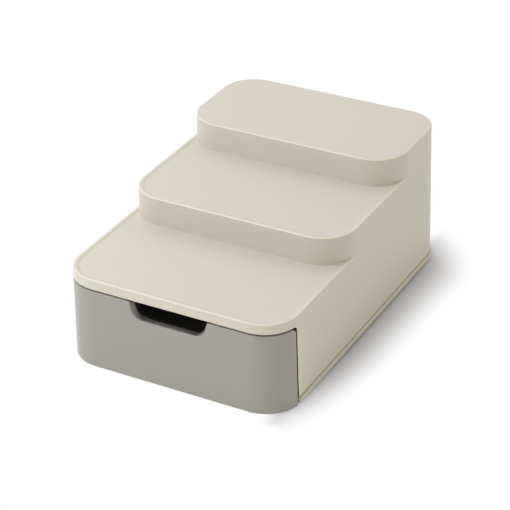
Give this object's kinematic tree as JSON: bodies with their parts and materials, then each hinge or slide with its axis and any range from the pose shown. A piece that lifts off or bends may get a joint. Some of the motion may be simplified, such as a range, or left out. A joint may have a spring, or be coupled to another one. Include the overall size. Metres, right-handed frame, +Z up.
{
  "type": "condiment caddy with drawer",
  "caption": "Stepped countertop caddy with rimmed tiers for jars and bottles, over a full-width sliding drawer with a notched finger pull.",
  "frame": {"origin": "middle of the footprint, on the surface that the feet stand on", "axes": "+X to the right seen from the drawer's side, +Y from the drawer's front to the back, +Z up"},
  "size_m": [0.202, 0.301, 0.1276],
  "materials": {
    "housing_plastic": "warm cream, fine satin moulded surface",
    "base_plastic": "warm cream, a little darker, satin",
    "drawer_plastic": "warm grey, fine satin moulded surface",
    "tray_plastic": "warm grey, satin",
    "foot_rubber": "dark grey, matt",
    "screw_steel": "zinc plated"
  },
  "bodies": {
    "housing": {"stepped_housing": "housing_plastic", "base_plate": "base_plastic", "base_screws": "screw_steel", "foot_front_left": "foot_rubber", "foot_front_right": "foot_rubber", "foot_rear_left": "foot_rubber", "foot_rear_right": "foot_rubber"},
    "drawer": {"drawer_front": "drawer_plastic", "drawer_tray": "tray_plastic", "drawer_front_screws": "screw_steel"}
  },
  "joints": [
    {"name": "drawer_slide", "type": "slide", "parent": "housing", "child": "drawer", "axis": [0, -1, 0], "range_m": [0, 0.217]}
  ]
}
